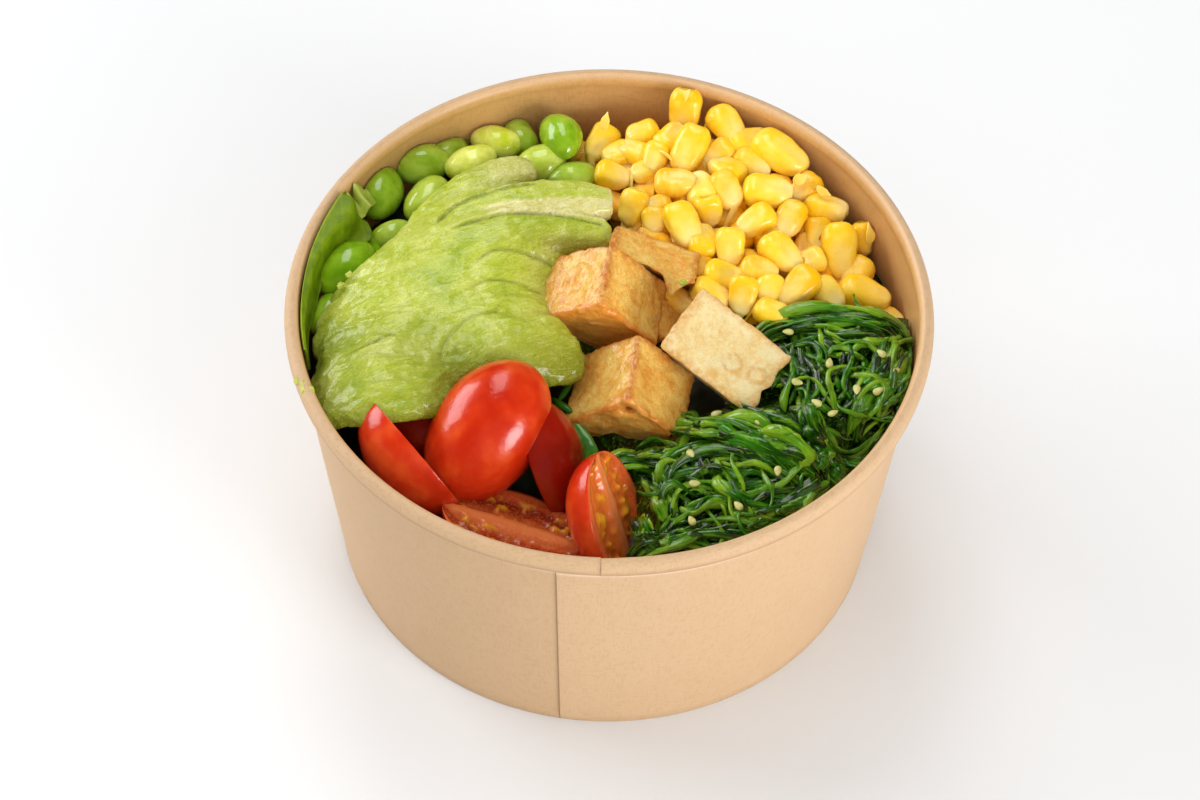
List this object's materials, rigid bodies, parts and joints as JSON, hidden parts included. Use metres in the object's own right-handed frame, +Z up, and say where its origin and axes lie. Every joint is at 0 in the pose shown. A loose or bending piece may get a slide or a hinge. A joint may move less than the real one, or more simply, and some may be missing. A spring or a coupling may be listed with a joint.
{
  "type": "poke bowl",
  "caption": "Paper bowl filled with sliced avocado, edamame beans, sweetcorn, fried tofu, tomatoes and seaweed salad.",
  "frame": {"origin": "centre of the bowl's foot, on the table", "axes": "+Z up out of the bowl, +X to the right and +Y to the back with the avocado at the left and the tomatoes in front"},
  "size_m": [0.15, 0.15, 0.0833],
  "materials": {
    "kraft_paper": "plain brown paper board, soft sheen, fine vertical fibres",
    "avocado": "moist flesh, slightly glossy",
    "bean": "moist and glossy",
    "pale_bean": "moist and glossy",
    "tofu": "golden brown fried skin, slightly oily",
    "pale_tofu": "pale fried skin with light blisters",
    "tomato": "shiny skin, wet cut flesh",
    "sweetcorn": "moist and glossy",
    "seaweed": "wet and oily",
    "leaf": "soft leaf",
    "salad_leaves": "dark leaves in shade"
  },
  "bodies": {
    "root": {"paper_bowl": "kraft_paper", "tofu_cube_1": "tofu", "tofu_cube_2": "pale_tofu", "tofu_cube_3": "tofu", "tofu_cube_4": "tofu", "tofu_cube_5": "tofu", "tomato_piece_1": "tomato", "tomato_piece_2": "tomato", "tomato_piece_3": "tomato", "tomato_piece_4": "tomato", "tomato_piece_5": "tomato", "tomato_piece_6": "tomato", "avocado_slice_1": "avocado", "avocado_slice_2": "avocado", "avocado_slice_3": "avocado", "avocado_slice_4": "avocado", "avocado_slice_5": "avocado", "avocado_slice_6": "avocado", "avocado_slice_7": "avocado", "edamame_bean_1": "bean", "edamame_bean_2": "bean", "edamame_bean_3": "bean", "edamame_bean_4": "pale_bean", "edamame_bean_5": "pale_bean", "edamame_bean_6": "pale_bean", "edamame_bean_7": "bean", "edamame_bean_8": "pale_bean", "edamame_bean_9": "bean", "edamame_bean_10": "bean", "edamame_bean_11": "bean", "edamame_bean_12": "bean", "edamame_bean_13": "bean", "edamame_bean_14": "bean", "green_stem_1": "leaf", "green_stem_2": "leaf", "green_stem_3": "leaf", "leaf_at_wall": "leaf", "leaf_tip": "leaf", "sweetcorn": "sweetcorn", "seaweed_salad": "seaweed", "salad_bed": "salad_leaves"}
  },
  "joints": []
}
